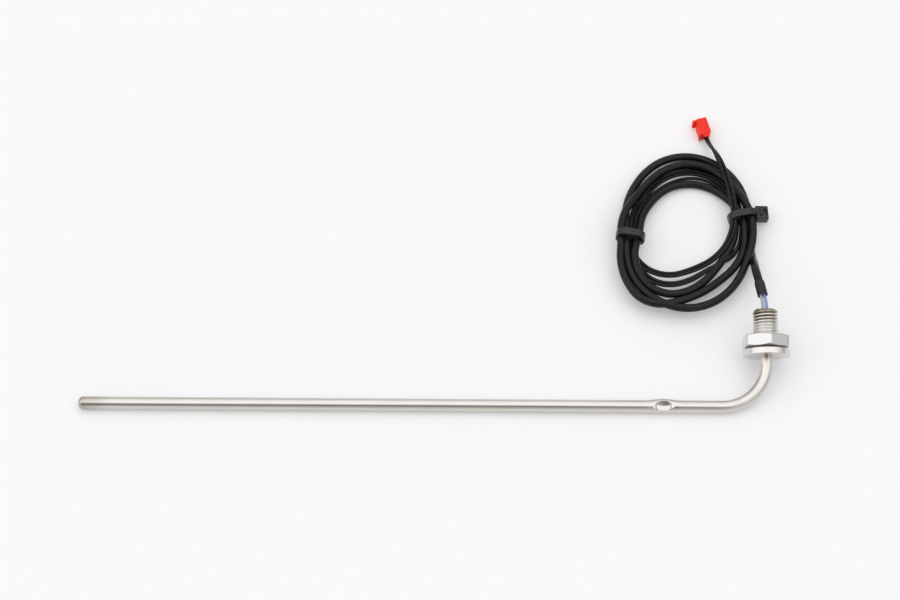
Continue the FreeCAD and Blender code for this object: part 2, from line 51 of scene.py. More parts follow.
# From the frame: how the sensor leans, and its sizes and places in millimetres
MM = 0.001
STUD_AXIS = Vector(frame["joints"][0]["axis"])
LEAN = math.atan2(STUD_AXIS.z, STUD_AXIS.y)
SHEATH = next(mount for mount in frame["record"]["mounts"] if mount["name"] == "probe_sheath")
TUBE_R = SHEATH["dims"]["r_mm"]
STEM_Y = SHEATH["pos_m"][1] / MM
FITTING_LOW, FITTING_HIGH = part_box("threaded_fitting")
STUD_X = (FITTING_LOW.x + FITTING_HIGH.x) / 2 / MM
TIP_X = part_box("probe_tube")[0].x / MM - STUD_X

# Stem tube, in millimetres like the lengths of all pieces below
BEND_RADIUS = 17.5
LEG_STRAIGHT = 2.5
LEG = BEND_RADIUS + LEG_STRAIGHT
SOCKET_DEPTH = 10.0
TUBE_END = LEG + SOCKET_DEPTH / 2
TIP_ROUND = 1.7
TUBE_COLUMNS = 96
TIP_ROWS = 12
STEM_ROWS = 59
DIMPLE_ROWS = 140
BEFORE_BEND_ROWS = 9
BEND_ROWS = 48
LEG_ROWS = 11

# Heat tint of the tube, at its tip and in a narrow patch beside the brazed joint
TIP_TINT = 0.45
TIP_TINT_FADE = (2.0, 13.0)
BRAZE_TINT_LENGTH = 3.5
BRAZE_TINT_ANGLE = math.radians(9.0)
BRAZE_TINT_POWER = 12

# Punched dimple: the squeezed stem round it, the punch's shoulder and its oval point
DIMPLE_FROM_STUD = 40.5
SQUEEZE_LENGTH = 14.0
SQUEEZE_WIDER = 0.35
SQUEEZE_ASIDE = 0.25
SQUEEZE_FLATTER = 0.25
PUNCH_DEPTH = 1.25
PUNCH_SLOPE = 0.3
PUNCH_RIDGE = 0.3
PUNCH_NOSE = 0.1
PUNCH_HALF_LENGTH = 2.9
PUNCH_HALF_WIDTH = 2.35
PUNCH_WALL = 12.0
PUNCH_WALL_FOOT = 0.03
SHOULDER_RADIUS = 10.0
SHOULDER_DEPTH = 0.7
RIM_ROUND = 0.15

# Flanged stud
FLANGE_R = 9.25
FLANGE_THICKNESS = 2.5
FLANGE_BACK = LEG + FLANGE_THICKNESS
FLANGE_EDGE = 0.25
STUD_R = 5.0
STUD_LENGTH = 16.0
STUD_END = FLANGE_BACK + STUD_LENGTH
STUD_CHAMFER = 1.0
RELIEF_WIDTH = 1.6
RELIEF_DEPTH = 0.85
WIRE_BORE_R = 2.0
WIRE_BORE_MOUTH = 0.5
WIRE_BORE_SHOWN = 3.0
STUD_COLUMNS = 128
FRONT_ROWS = 23
EDGE_ROWS = 6
RIM_ROWS = 7
BACK_ROWS = 9
END_ROWS = 6

# Thread, which gets deeper and browner over a range of heights above the flange
PITCH = 1.25
THREAD_START = FLANGE_BACK + RELIEF_WIDTH
THREAD_DEPTH = 0.7
THREAD_SHALLOW = 0.6
THREAD_PHASE = 0.63
GROOVE_FLANK = (0.22, 0.95)
OUTER_THREADS = (8.5, 13.0)
ROWS_PER_PITCH = 20

# Brown stain of the stud: beside the braze, in the outer grooves and on the end
FRONT_FACE_DEPTH = 0.1
BRAZE_STAIN = 0.5
BRAZE_STAIN_WIDTH = 0.6
CLEAN_THREAD = 1.0
GROOVE_STAIN_FADE = (0.25, 0.75)
END_STAIN = 0.72
END_STAIN_HEIGHT = 1.9

# Hexagon nut
NUT_FLATS = 17.0
NUT_HEIGHT = 5.0
NUT_LIFT = 0.7
NUT_BOTTOM = FLANGE_BACK + NUT_LIFT
NUT_TOP = NUT_BOTTOM + NUT_HEIGHT
NUT_TURN = math.radians(0.9)
NUT_CHAMFER = math.radians(22.0)
NUT_BEARING_SHARE = 0.95
NUT_BEARING_R = NUT_BEARING_SHARE * NUT_FLATS / 2
NUT_BORE_R = 5.05
NUT_COUNTERSINK = 0.5
NUT_ROUND = 0.28
NUT_COLUMNS = 240
NUT_ROWS = 40
NUT_FACE_ROWS = 10

# Lead, with the points of its held ends
SLEEVE_OD = 3.3
WIRE_OD = 1.4
SLEEVE_START = [(-1.15, 47.22, 14.24), (-2.4, 55.6, 13.0), (-1.6, 61.5, 7.0), (-1.6, 67.0, 1.8),
                (-1.9, 74.5, 1.8)]
LEAD_A_END = [(-8.9, 89.6, 6.6), (-10.6, 97.8, 8.4), (-12.8, 106.6, 8.9), (-15.1, 115.2, 7.8),
              (-16.38, 122.59, 2.7), (-17.39, 126.66, 2.7)]
LEAD_B_END = [(-7.3, 89.4, 6.6), (-8.9, 97.4, 8.4), (-11.1, 106.2, 8.7), (-13.3, 114.8, 5.8),
              (-16.38, 122.59, 1.0), (-17.39, 126.66, 1.0)]
CORD_BEVEL_RESOLUTION = 6
CORD_RESOLUTION = 8

# Coil in plan, as two ovals: middle, then half width, half depth and turn of each
COIL_CENTRE = (-28.0, 79.0)
COIL_OUTER = (28.1, 37.2, math.radians(-6.0))
COIL_INNER = (17.1, 21.9, math.radians(-35.0))
STEPS_PER_TURN = 24

# Lift of the coil's underside, towards the tie whose head lies under the bundle
COIL_LIFT = 5.0
COIL_LIFT_AT = math.radians(228.0)
COIL_LIFT_POWER = 1.5

# Hole of each tie: middle of the bundle, half width, half height, heading
TIE_RIGHT = ((-4.58, 85.16, 4.45), 5.2, 3.0, math.radians(13.3))
TIE_LEFT = ((-50.99, 73.82, 8.1), 4.95, 2.35, math.radians(172.0))

# Places round the coil, and where each turn lies there: 0 on the inner oval and 1 on the outer one
STATION_DEGREES = (14.7, 45, 75, 105, 135, 165, 192.7, 215, 240, 270, 300, 335)
STATIONS = [math.radians(angle) for angle in STATION_DEGREES]
RIGHT_TIE_STATION = 0
LEFT_TIE_STATION = 6
SLEEVE_TURNS = [(0.80, 0.98, 0.99, 0.96, 0.84, 0.72, 0.54, 0.90, 1.05, 1.00, 0.97, 0.96),
                (0.90, 0.74, 0.76, 0.68, 0.60, 0.76, 0.88, 1.13, 1.24, 0.75, 0.60, 0.73),
                (0.55, 0.22, 0.18, 0.21, 0.20, 0.18, 0.20, 0.72, 0.92, 0.55, 0.22, 0.19)]
SLEEVE_END = 0.20
SLEEVE_RISE = (1.8, 12.0)
WIRE_A_TURNS = [(0.22, 0.54, 0.53, 0.48, 0.36, 0.32, 0.30, 0.54, 0.50, 0.22, 0.12, 0.42),
                (0.45, 0.72, 0.72, 0.66, 0.56, 0.52, 0.52, 0.48, 0.24, -0.03, -0.06, 0.00)]
WIRE_A_END = 0.05
WIRE_B_TURNS = [(0.26, 0.40, 0.42, 0.33, 0.26, 0.26, 0.22, 0.62, 0.58, 0.30, 0.20, 0.46),
                (0.50, 0.62, 0.60, 0.56, 0.50, 0.46, 0.42, 0.52, 0.30, 0.04, 0.00, 0.06)]
WIRE_B_END = 0.12
WIRE_RISE = (11.0, 13.5)

# One round of settling: how far strands sink, are drawn back, even out and push each other apart
SETTLE_ROUNDS = 400
SINK = 0.06
DRAW_BACK = 0.03
EVEN_OUT = 0.3
PUSH_SHARE = 0.25
PUSH_MOST = 0.5
NEIGHBOURS = 4
TINY = 1e-6

# Rounding of moulded edges
TIE_EDGE = 0.18
CONNECTOR_EDGE = 0.14
EDGE_SEGMENTS = 2
SHARP_ANGLE = math.radians(40.0)
FLAT_ANGLE = math.radians(1.0)
SAME_POINT = 0.001

# Materials, heights in metres: used part of a noise's range, steel's lines and stains, skin of the rest
NOISE_RANGE = (0.3, 0.7)
LINE_DETAIL = 4.0
LINE_HEIGHT = 0.00002
STAIN_SCALE = 160.0
STAIN_DETAIL = 6.0
STAIN_SHARE = 0.5
STAIN_LEVEL = 0.93
UNEVEN_TINT = (0.6, 1.1)
MOTTLE_DETAIL = 5.0
SKIN_FINER = 9
SKIN_DETAIL = 3.0
SKIN_HEIGHT = 0.00004

# Table, with half its width in metres
FLOOR_HALF = 4.0
FLOOR_COLOUR = (0.955, 0.958, 0.963, 1)
FLOOR_ROUGHNESS = 0.7
FLOOR_SPECULAR = 0.2
FLOOR_GLOW = 0.18
FLOOR_GLOW_COLOUR = (0.94, 0.943, 0.95, 1)

# Sky levels by degrees of height from the front over the top to the back, in the middle and beside it
SKY_MIDDLE = [(0, 0.50), (14, 0.44), (27, 0.28), (36, 0.145), (45, 0.145), (56, 0.42), (66, 0.82), (76, 0.98),
              (86, 1.0), (104, 0.95), (123, 0.86), (146, 0.64), (166, 0.46), (180, 0.40)]
SKY_BESIDE = [(0, 0.55), (40, 0.66), (60, 0.88), (75, 1.06), (103, 1.06), (118, 0.80),
              (142, 0.48), (180, 0.34)]

# Share of the levels beside the middle, and strength of the sky, from left to right
SKY_SHARES = [(-0.6, 1.0), (-0.28, 0.0), (0.05, 0.0), (0.5, 1.0)]
SKY_STRENGTHS = [(-1.0, 1.20), (-0.6, 1.37), (-0.2, 1.41), (0.3, 1.41), (0.7, 1.15), (0.95, 0.70)]

# Degrees by which the middle's levels lie higher from the centre to the right, and where that begins
SKY_SLANT = 9.0
SKY_SLANT_FROM = -0.16

# Camera
CAMERA_LENS = 80.0
CAMERA_SENSOR = 36.0
CAMERA_ELEVATION = math.radians(61.5)
CAMERA_YAW = math.radians(-0.42)
CAMERA_DISTANCE = 803.29
LOOK_POINT = (-123.78, 47.92, 0)


# Shape helpers


def place(x, y, z):
    """A point in the frame, with x and y from where stem and stud meet and z from the table."""
    return Vector(((x + STUD_X) * MM, (y + STEM_Y) * MM, z * MM))


def sensor_point(x, y, z):
    """A point in the frame, given on the sensor as it is before it leans about its stem."""
    leaned_y = y * math.cos(LEAN) - z * math.sin(LEAN)
    leaned_z = y * math.sin(LEAN) + z * math.cos(LEAN) + TUBE_R
    return place(x, leaned_y, leaned_z)


def smooth_step(value, low, high):
    """0 below low, 1 above high, and a smooth rise between them."""
    share = min(1.0, max(0.0, (value - low) / (high - low)))
    return share * share * (3 - 2 * share)


def smooth_min(first, second, blend):
    """Smaller of two values, rounded where they are nearly the same."""
    share = max(0.0, blend - abs(first - second)) / blend
    return min(first, second) - share * share * blend / 4


def between(start, end, steps):
    """Evenly spaced values after start, up to end."""
    return np.linspace(start, end, steps + 1)[1:]


def round_angles(columns):
    """Angles of the points of a ring."""
    return [math.tau * column / columns for column in range(columns)]


def turned_ring(row, angles):
    """Ring round the stud's axis, with its own radius and height at each angle."""
    return [sensor_point(radius * math.sin(angle), height, radius * math.cos(angle))
            for (radius, height), angle in zip(row, angles)]


def row_travels(rows):
    """Distance to each row along the first column of a turned piece."""
    travels = [0.0]
    for before, row in zip(rows, rows[1:]):
        travels.append(travels[-1] + math.dist(before[0], row[0]))
    return travels


def link_object(name, data):
    """New object in the scene."""
    made = bpy.data.objects.new(name, data)
    bpy.context.scene.collection.objects.link(made)
    return made


def grid_object(name, rings, travels, uv_radius, masks, closed):
    """Mesh from rings of points, with uv along and round it in millimetres and one mask value per point."""
    columns = len(rings[0])
    side_faces = (len(rings) - 1) * columns
    faces = []
    for start in range(0, side_faces, columns):
        for column in range(columns):
            following = (column + 1) % columns
            faces.append((start + column, start + following,
                          start + columns + following, start + columns + column))
    if closed:
        faces.append(tuple(range(columns))[::-1])
        faces.append(tuple(range(side_faces, side_faces + columns)))
    mesh = bpy.data.meshes.new(name)
    mesh.from_pydata([point for ring in rings for point in ring], [], faces)
    mesh.update()
    layer = mesh.uv_layers.new(name="surface")
    for polygon in mesh.polygons:
        at_seam = polygon.index < side_faces and polygon.index % columns == columns - 1
        for loop in polygon.loop_indices:
            ring, column = divmod(mesh.loops[loop].vertex_index, columns)
            if at_seam and column == 0:
                column = columns
            layer.data[loop].uv = (travels[ring], math.tau * uv_radius * column / columns)
    attribute = mesh.attributes.new("mask", "FLOAT", "POINT")
    attribute.data.foreach_set("value", [value for row in masks for value in row])
    mesh.shade_smooth()
    return link_object(name, mesh)


# Material helpers


def add_node(tree, kind, inputs=None, **settings):
    """Node with its settings, and its sockets set to values or linked to other sockets."""
    made = tree.nodes.new(kind)
    for name, value in settings.items():
        setattr(made, name, value)
    for socket, value in (inputs or {}).items():
        if isinstance(value, bpy.types.NodeSocket):
            tree.links.new(value, made.inputs[socket])
        else:
            made.inputs[socket].default_value = value
    return made


def calculated(tree, operation, *values):
    """Result of a calculation with values or other sockets."""
    return add_node(tree, "ShaderNodeMath", dict(enumerate(values)), operation=operation).outputs[0]


def new_material(name, constants):
    """Material with its one shader, set to the values that are the same all over."""
    material = bpy.data.materials.new(name)
    material.use_nodes = True
    shader = material.node_tree.nodes["Principled BSDF"]
    for socket, value in constants.items():
        shader.inputs[socket].default_value = value
    return material, material.node_tree, shader


def noise(tree, vector, scale, detail, stretch=(1, 1, 1)):
    """Noise, drawn out along one direction of its coordinates where it is stretched."""
    mapping = add_node(tree, "ShaderNodeMapping", {"Vector": vector, "Scale": stretch})
    return add_node(tree, "ShaderNodeTexNoise",
                    {"Vector": mapping.outputs["Vector"], "Scale": scale, "Detail": detail}).outputs["Fac"]


def in_range(tree, value, low, high):
    """A noise value spread over a range."""
    return add_node(tree, "ShaderNodeMapRange", {"Value": value, "From Min": NOISE_RANGE[0],
                                                 "From Max": NOISE_RANGE[1], "To Min": low,
                                                 "To Max": high}).outputs["Result"]


def mixed(tree, share, first, second):
    """Colour between two colours, which are the node's sockets 6 and 7 and come out of its socket 2."""
    return add_node(tree, "ShaderNodeMix", {0: share, 6: first, 7: second}, data_type="RGBA").outputs[2]


def roughened(tree, shader, height, strength, distance):
    """Bump from a height."""
    bump = add_node(tree, "ShaderNodeBump", {"Height": height, "Strength": strength, "Distance": distance})
    tree.links.new(bump.outputs["Normal"], shader.inputs["Normal"])


def steel(name, bright, tint, grain, roughness, relief, dull=0.0):
    """Worked steel with fine lines and soft stains, tinted and duller where the mask is."""
    material, tree, shader = new_material(name, {"Metallic": 1.0})
    uv = add_node(tree, "ShaderNodeUVMap", uv_map="surface").outputs["UV"]
    position = add_node(tree, "ShaderNodeTexCoord").outputs["Object"]
    mask = add_node(tree, "ShaderNodeAttribute", attribute_name="mask").outputs["Fac"]
    lines = noise(tree, uv, 1.0, LINE_DETAIL, grain)
    stains = noise(tree, position, STAIN_SCALE, STAIN_DETAIL)
    uneven_mask = calculated(tree, "MULTIPLY", mask, in_range(tree, stains, *UNEVEN_TINT))
    stain = (*(STAIN_LEVEL * channel for channel in bright[:3]), 1)
    stained = mixed(tree, in_range(tree, stains, 0.0, STAIN_SHARE), bright, stain)
    tree.links.new(mixed(tree, uneven_mask, stained, tint), shader.inputs["Base Color"])
    rough = calculated(tree, "MULTIPLY_ADD", mask, dull, in_range(tree, lines, *roughness))
    tree.links.new(rough, shader.inputs["Roughness"])
    roughened(tree, shader, lines, relief, LINE_HEIGHT)
    return material


def mottled(name, dark, light, roughness, scale, bump, specular=0.5, metallic=0.0):
    """Plain material with a soft mottle, uneven gloss and a fine skin."""
    material, tree, shader = new_material(name, {"Specular IOR Level": specular, "Metallic": metallic})
    position = add_node(tree, "ShaderNodeTexCoord").outputs["Object"]
    mottle = noise(tree, position, scale, MOTTLE_DETAIL)
    skin = noise(tree, position, scale * SKIN_FINER, SKIN_DETAIL)
    tree.links.new(mixed(tree, in_range(tree, mottle, 0.0, 1.0), dark, light), shader.inputs["Base Color"])
    tree.links.new(in_range(tree, mottle, *roughness), shader.inputs["Roughness"])
    roughened(tree, shader, skin, bump, SKIN_HEIGHT)
    return material


def dress(piece, material):
    """Give a piece its material."""
    piece.data.materials.clear()
    piece.data.materials.append(material)


# Sensor


def tube_section(along):
    """Half width, half height and sideways push of the stem, which is squeezed round the dimple."""
    from_dimple = along + DIMPLE_FROM_STUD
    share = 0.0
    if abs(from_dimple) < SQUEEZE_LENGTH / 2:
        share = math.cos(math.pi * from_dimple / SQUEEZE_LENGTH) ** 2
    return TUBE_R + SQUEEZE_WIDER * share, TUBE_R - SQUEEZE_FLATTER * share, SQUEEZE_ASIDE * share


def pressed(along, across, up):
    """Height of the stem's upper side where the punch's shoulder and blunt oval point have pressed it."""
    top = TUBE_R - SQUEEZE_FLATTER
    from_dimple = along + DIMPLE_FROM_STUD
    off_axis = math.hypot(from_dimple, across)
    if off_axis < SHOULDER_RADIUS:
        shoulder = top - SHOULDER_DEPTH + SHOULDER_RADIUS - math.sqrt(SHOULDER_RADIUS ** 2 - off_axis ** 2)
        up = smooth_min(up, shoulder, RIM_ROUND)
    slope = PUNCH_SLOPE * math.hypot(PUNCH_RIDGE * from_dimple, across)
    point = top - PUNCH_DEPTH + math.hypot(slope, PUNCH_NOSE) - PUNCH_NOSE
    past_oval = math.hypot(from_dimple / PUNCH_HALF_LENGTH, across / PUNCH_HALF_WIDTH) - 1
    wall = PUNCH_WALL * (past_oval + math.hypot(past_oval, PUNCH_WALL_FOOT)) / 2
    return smooth_min(up, point + wall, RIM_ROUND)


def tip_ring(angle, around):
    """Ring of the rounded tip, from its flat end to the stem."""
    radius = TUBE_R - TIP_ROUND + TIP_ROUND * math.sin(angle)
    along = TIP_X + TIP_ROUND - TIP_ROUND * math.cos(angle)
    return [sensor_point(along, radius * math.sin(side), radius * math.cos(side)) for side in around]


def stem_ring(along, around):
    """Ring of the straight stem, with the dimple pressed into its upper side."""
    wide, tall, aside = tube_section(along)
    ring = []
    for side in around:
        across = aside + wide * math.sin(side)
        up = tall * math.cos(side)
        if up > 0:
            up = pressed(along, across, up)
        ring.append(sensor_point(along, across, up))
    return ring


def bend_ring(turn, around):
    """Ring of the bend, after that much of the quarter turn."""
    ring = []
    for side in around:
        reach = BEND_RADIUS - TUBE_R * math.sin(side)
        along = reach * math.sin(turn) - BEND_RADIUS
        across = BEND_RADIUS - reach * math.cos(turn)
        ring.append(sensor_point(along, across, TUBE_R * math.cos(side)))
    return ring


def leg_ring(height, around):
    """Ring of the leg that stands in the fitting's socket."""
    return [sensor_point(-TUBE_R * math.sin(side), height, TUBE_R * math.cos(side)) for side in around]


def tube_rings(around):
    """Rings of the tube from its tip to its end in the socket, and how far along the tube each one lies."""
    rings = []
    travels = []
    for angle in np.linspace(0, math.pi / 2, TIP_ROWS + 1):
        rings.append(tip_ring(angle, around))
        travels.append(TIP_ROUND * (1 - math.cos(angle)))
    dimple_start = -DIMPLE_FROM_STUD - SQUEEZE_LENGTH / 2
    dimple_end = -DIMPLE_FROM_STUD + SQUEEZE_LENGTH / 2
    for start, end, steps in ((TIP_X + TIP_ROUND, dimple_start, STEM_ROWS),
                              (dimple_start, dimple_end, DIMPLE_ROWS),
                              (dimple_end, -BEND_RADIUS, BEFORE_BEND_ROWS)):
        for along in between(start, end, steps):
            rings.append(stem_ring(along, around))
            travels.append(along - TIP_X)
    bend_start = travels[-1]
    for turn in between(0, math.pi / 2, BEND_ROWS):
        rings.append(bend_ring(turn, around))
        travels.append(bend_start + turn * BEND_RADIUS)
    leg_start = travels[-1]
    for height in between(BEND_RADIUS, TUBE_END, LEG_ROWS):
        rings.append(leg_ring(height, around))
        travels.append(leg_start + height - BEND_RADIUS)
    return rings, travels


def tube_tint(travel, braze, side):
    """Share of the heat tint, all round the tip and in a narrow patch on the upper side beside the braze."""
    at_tip = TIP_TINT * (1 - smooth_step(travel, *TIP_TINT_FADE))
    at_braze = smooth_step(travel, braze - BRAZE_TINT_LENGTH, braze)
    return max(at_tip, at_braze * max(0.0, math.cos(side - BRAZE_TINT_ANGLE)) ** BRAZE_TINT_POWER)


def make_tube():
    """Bent tube with a rounded tip and the dimple, warmer at the tip and at the brazed joint."""
    around = round_angles(TUBE_COLUMNS)
    rings, travels = tube_rings(around)
    braze = travels[-1] - SOCKET_DEPTH / 2
    masks = [[tube_tint(travel, braze, side) for side in around] for travel in travels]
    tube = grid_object("stem_tube", rings, travels, TUBE_R, masks, closed=True)
    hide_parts("probe_tube")
    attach(tube, "sensor")
    material = steel("drawn_steel", bright=(0.68, 0.65, 0.61, 1), tint=(0.20, 0.145, 0.10, 1),
                     grain=(0.04, 3.0, 1), roughness=(0.12, 0.22), relief=0.1)
    dress(tube, material)


def groove_share(height, angle):
    """Depth of the thread's groove, from 0 on the crest to 1 at the root."""
    phase = (height / PITCH - angle / math.tau + THREAD_PHASE) % 1.0
    return smooth_step(abs(2 * phase - 1), *GROOVE_FLANK)


def thread_radius(height, angle):
    """Stud's radius on its thread, which runs out into the relief and is cut by the end chamfer."""
    full = smooth_step(height - FLANGE_BACK, *OUTER_THREADS)
    depth = THREAD_DEPTH * (THREAD_SHALLOW + (1 - THREAD_SHALLOW) * full)
    radius = STUD_R - depth * groove_share(height, angle)
    radius = min(radius, STUD_R - RELIEF_DEPTH + max(0.0, height - THREAD_START))
    return min(radius, STUD_R - STUD_CHAMFER + STUD_END - height)


def fitting_stain(radius, height, angle):
    """Share of the brown tint: in the outer threads' grooves, on the end chamfer and beside the braze."""
    if height < LEG + FRONT_FACE_DEPTH:
        return BRAZE_STAIN * (1 - smooth_step(radius, TUBE_R, TUBE_R + BRAZE_STAIN_WIDTH))
    if height < THREAD_START + CLEAN_THREAD:
        return 0.0
    if height > STUD_END - END_STAIN_HEIGHT:
        return END_STAIN
    outer = smooth_step(height - FLANGE_BACK, *OUTER_THREADS)
    return outer * smooth_step(groove_share(height, angle), *GROOVE_STAIN_FADE)


def flange_profile():
    """Radius and height along the turned piece, from its socket over the flange to the thread."""
    edge_r = FLANGE_R - FLANGE_EDGE
    relief_r = STUD_R - RELIEF_DEPTH
    front_edge = LEG + FLANGE_EDGE
    back_edge = FLANGE_BACK - FLANGE_EDGE
    quarter = between(0, math.pi / 2, EDGE_ROWS)
    profile = [(TUBE_R, TUBE_END), (TUBE_R, LEG)]
    profile += [(radius, LEG) for radius in between(TUBE_R, edge_r, FRONT_ROWS)]
    profile += [(edge_r + FLANGE_EDGE * math.sin(angle), front_edge - FLANGE_EDGE * math.cos(angle))
                for angle in quarter]
    profile += [(FLANGE_R, height) for height in between(front_edge, back_edge, RIM_ROWS)]
    profile += [(edge_r + FLANGE_EDGE * math.cos(angle), back_edge + FLANGE_EDGE * math.sin(angle))
                for angle in quarter]
    profile += [(radius, FLANGE_BACK) for radius in between(edge_r, relief_r, BACK_ROWS)]
    profile.append((relief_r, THREAD_START))
    return profile


def bore_profile():
    """Radius and height from the stud's end face into its wire bore."""
    face_r = STUD_R - STUD_CHAMFER - THREAD_DEPTH
    mouth_r = WIRE_BORE_R + WIRE_BORE_MOUTH
    profile = [(radius, STUD_END) for radius in np.linspace(face_r, mouth_r, END_ROWS)]
    return profile + [(WIRE_BORE_R, STUD_END - WIRE_BORE_MOUTH), (WIRE_BORE_R, STUD_END - WIRE_BORE_SHOWN)]


def make_fitting():
    """Flange and threaded stud, turned as one, with the tube's socket in front and the wire bore behind."""
    angles = round_angles(STUD_COLUMNS)
    rows = [[point] * STUD_COLUMNS for point in flange_profile()]
    thread_rows = int((STUD_END - THREAD_START) / PITCH * ROWS_PER_PITCH)
    for height in np.linspace(THREAD_START, STUD_END, thread_rows)[1:]:
        rows.append([(thread_radius(height, angle), height) for angle in angles])
    rows += [[point] * STUD_COLUMNS for point in bore_profile()]
    rings = [turned_ring(row, angles) for row in rows]
    masks = [[fitting_stain(*point, angle) for point, angle in zip(row, angles)] for row in rows]
    fitting = grid_object("flanged_stud", rings, row_travels(rows), FLANGE_R, masks, closed=False)
    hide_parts("threaded_fitting")
    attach(fitting, "sensor")
    material = steel("turned_steel", bright=(0.72, 0.70, 0.67, 1), tint=(0.16, 0.115, 0.042, 1),
                     grain=(3.0, 0.04, 1), roughness=(0.16, 0.28), relief=0.12)
    dress(fitting, material)


def nut_radii(height, angle):
    """Radius of the nut's flats with their round corners, and of its chamfers, at an angle from a corner."""
    corner_r = NUT_FLATS / math.sqrt(3)
    from_flat = angle % (math.pi / 3) - math.pi / 6
    flat_r = smooth_min(NUT_FLATS / 2 / math.cos(from_flat), corner_r - NUT_ROUND, NUT_ROUND)
    from_face = min(height - NUT_BOTTOM, NUT_TOP - height)
    return flat_r, NUT_BEARING_R + from_face / math.tan(NUT_CHAMFER)


def make_nut():
    """Thin hexagon nut with a countersunk bore, duller on its faces and chamfers than on its flats."""
    angles = round_angles(NUT_COLUMNS)
    mouth_r = NUT_BORE_R + NUT_COUNTERSINK
    lower_face = [(NUT_BORE_R, NUT_BOTTOM + NUT_COUNTERSINK)]
    lower_face += [(radius, NUT_BOTTOM) for radius in np.linspace(mouth_r, NUT_BEARING_R, NUT_FACE_ROWS)[:-1]]
    upper_face = [(radius, NUT_TOP) for radius in np.linspace(NUT_BEARING_R, mouth_r, NUT_FACE_ROWS)[1:]]
    upper_face += [(NUT_BORE_R, NUT_TOP - NUT_COUNTERSINK), (NUT_BORE_R, NUT_BOTTOM + NUT_COUNTERSINK)]
    rows = [[point] * NUT_COLUMNS for point in lower_face]
    masks = [[1.0] * NUT_COLUMNS for point in lower_face]
    for step in range(NUT_ROWS + 1):
        height = NUT_BOTTOM + NUT_HEIGHT * (1 - math.cos(math.pi * step / NUT_ROWS)) / 2
        radii = [nut_radii(height, angle) for angle in angles]
        rows.append([(smooth_min(flat_r, cone_r, NUT_ROUND), height) for flat_r, cone_r in radii])
        masks.append([smooth_step(flat_r - cone_r, 0.0, NUT_ROUND) for flat_r, cone_r in radii])
    rows += [[point] * NUT_COLUMNS for point in upper_face]
    masks += [[1.0] * NUT_COLUMNS for point in upper_face]
    rings = [turned_ring(row, [NUT_TURN + angle for angle in angles]) for row in rows]
    nut = grid_object("hexagon_nut", rings, row_travels(rows), NUT_BEARING_R, masks, closed=False)
    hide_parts("clamp_nut")
    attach(nut, "nut")
    material = steel("nut_steel", bright=(0.70, 0.692, 0.68, 1), tint=(0.70, 0.69, 0.675, 1),
                     grain=(0.2, 0.25, 1), roughness=(0.14, 0.24), relief=0.1, dull=0.4)
    dress(nut, material)


# Lead


def oval_radius(oval, angle):
    """Radius of an oval at an angle seen from its middle."""
    half_width, half_depth, turn = oval
    return half_width * half_depth / math.hypot(half_depth * math.cos(angle - turn),
                                                half_width * math.sin(angle - turn))


def eased(values, position):
    """Value at a position in a row of values, on a smooth line through them."""
    index = min(int(position), len(values) - 2)
    share = position - index
    before = values[max(index - 1, 0)]
    start = values[index]
    end = values[index + 1]
    after = values[min(index + 2, len(values) - 1)]
    return start + share * ((end - before) + share * ((2 * before - 5 * start + 4 * end - after)
                                                      + share * (3 * (start - end) + after - before))) / 2


def tie_at(angle):
    """Station of the tie that a point at this angle runs through, or -1."""
    for station in (LEFT_TIE_STATION, RIGHT_TIE_STATION):
        if abs(math.remainder(angle - STATIONS[station], math.tau)) < math.pi / STEPS_PER_TURN:
            return station
    return -1


def coil_turns(turns, last_share, rise):
    """Points of the turns, where the shares put them across the ring, and the tie that each point is at."""
    shares = [share for turn in turns for share in turn] + [last_share]
    count = len(STATIONS)
    angles = [STATIONS[index % count] + math.tau * (index // count) for index in range(len(shares))]
    steps = len(turns) * STEPS_PER_TURN
    points = []
    ties = []
    for step in range(steps + 1):
        angle = angles[0] + math.tau * len(turns) * step / steps
        share = eased(shares, float(np.interp(angle, angles, range(len(angles)))))
        inner = oval_radius(COIL_INNER, angle)
        outer = oval_radius(COIL_OUTER, angle)
        radius = inner + share * (outer - inner)
        x = COIL_CENTRE[0] + radius * math.cos(angle)
        y = COIL_CENTRE[1] + radius * math.sin(angle)
        points.append((x, y, rise[0] + (rise[1] - rise[0]) * step / steps))
        ties.append(tie_at(angle))
    return points, ties


class Strand:
    """One cord while it settles: its points, which of them are held, and the tie that each runs through."""

    def __init__(self, lead_in, turns, ties, lead_out, radius):
        self.points = np.array(lead_in + turns + lead_out, float)
        self.held = np.array([True] * len(lead_in) + [False] * len(turns) + [True] * len(lead_out))
        self.ties = np.array([-1] * len(lead_in) + ties + [-1] * len(lead_out))
        self.radius = radius
        self.target = self.points.copy()


def hold_in_tie(strand, tie, station):
    """Keep the points that run through a tie inside its hole."""
    middle, half_width, half_height, heading = tie
    along = np.array([math.cos(heading), math.sin(heading), 0.0])
    for index in np.flatnonzero(strand.ties == station):
        off = strand.points[index] - np.array(middle)
        aside = float(off @ along)
        wanted = max(-half_width + strand.radius, min(half_width - strand.radius, aside))
        strand.points[index] += along * (wanted - aside)
        low = middle[2] - half_height + strand.radius
        high = middle[2] + half_height - strand.radius
        strand.points[index][2] = max(low, min(high, strand.points[index][2]))


